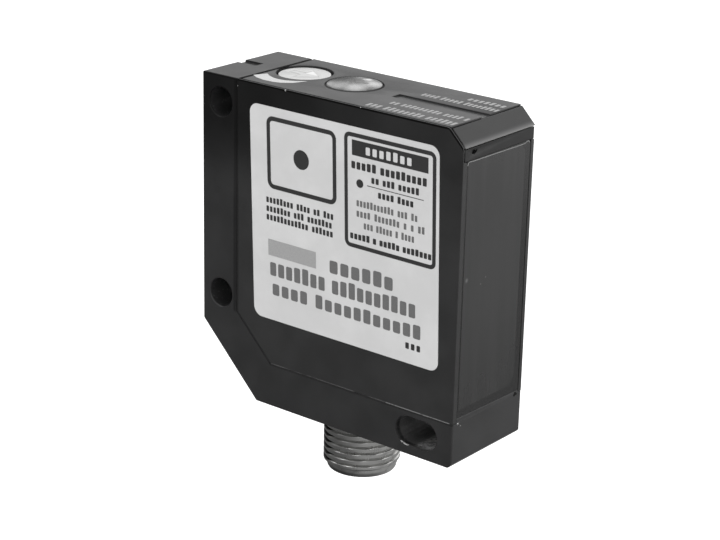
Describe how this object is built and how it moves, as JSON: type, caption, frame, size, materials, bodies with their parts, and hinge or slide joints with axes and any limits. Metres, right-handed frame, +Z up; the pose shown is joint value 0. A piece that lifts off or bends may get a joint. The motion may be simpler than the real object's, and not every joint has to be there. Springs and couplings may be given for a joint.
{
  "type": "optical sensor",
  "caption": "Slim block-shaped optical distance sensor with a front window, a round adjuster and indicator lens on top and a threaded plug connector below.",
  "frame": {"origin": "on the far side face of the frame, half way between the two round screw holes", "axes": "+X from the back face to the window, +Y out of the far side face (the mounting face), +Z up, away from the connector"},
  "size_m": [0.048, 0.0171, 0.0593],
  "materials": {
    "cast_metal": "satin black paint on zinc die casting",
    "side_plate": "satin black paint on thin plate",
    "label_film": "satin film",
    "black_plastic": "matt moulded",
    "dark_filter": "polished dark filter",
    "seal_rubber": "matt",
    "pale_plastic": "satin moulded",
    "clear_plastic": "clear moulded",
    "turned_aluminium": "turned",
    "nickel_brass": "nickel plated",
    "gold_contact": "gold plated",
    "circuit_board": "satin laminate",
    "chip_epoxy": "matt",
    "plated_steel": "zinc plated",
    "lens_glass": "polished"
  },
  "bodies": {
    "housing": {"frame": "cast_metal", "top_cover": "cast_metal", "front_bezel": "cast_metal", "cover_near": "side_plate", "cover_far": "side_plate", "label": "label_film", "front_carrier": "black_plastic", "front_window": "dark_filter", "window_gasket": "seal_rubber", "adjuster_seal": "seal_rubber", "potentiometer": "black_plastic", "light_guide": "clear_plastic", "indicator_light": "pale_plastic", "display_board": "circuit_board", "connector_shell": "nickel_brass", "connector_seal": "seal_rubber", "contact_insert": "black_plastic", "contact_pin_1": "gold_contact", "contact_pin_2": "gold_contact", "contact_pin_3": "gold_contact", "contact_pin_4": "gold_contact", "connector_board": "circuit_board", "main_board": "circuit_board", "processor": "chip_epoxy", "amplifier": "chip_epoxy", "capacitor_1": "turned_aluminium", "capacitor_2": "turned_aluminium", "board_screw_1": "plated_steel", "board_screw_2": "plated_steel", "board_screw_3": "plated_steel", "optics_chassis": "black_plastic", "laser_barrel": "turned_aluminium", "laser_diode": "gold_contact", "collimator_lens": "lens_glass", "receiver_lens": "lens_glass", "lens_ring": "turned_aluminium", "position_detector": "chip_epoxy", "optics_board": "circuit_board"},
    "adjuster": {"adjuster_dial": "pale_plastic", "adjuster_spindle": "turned_aluminium"}
  },
  "joints": [
    {"name": "adjuster_turn", "type": "hinge", "parent": "housing", "child": "adjuster", "pos_m": [0.00805, -0.0074, 0.0189], "axis": [0, 0, 1], "range_deg": [-135, 135]}
  ]
}
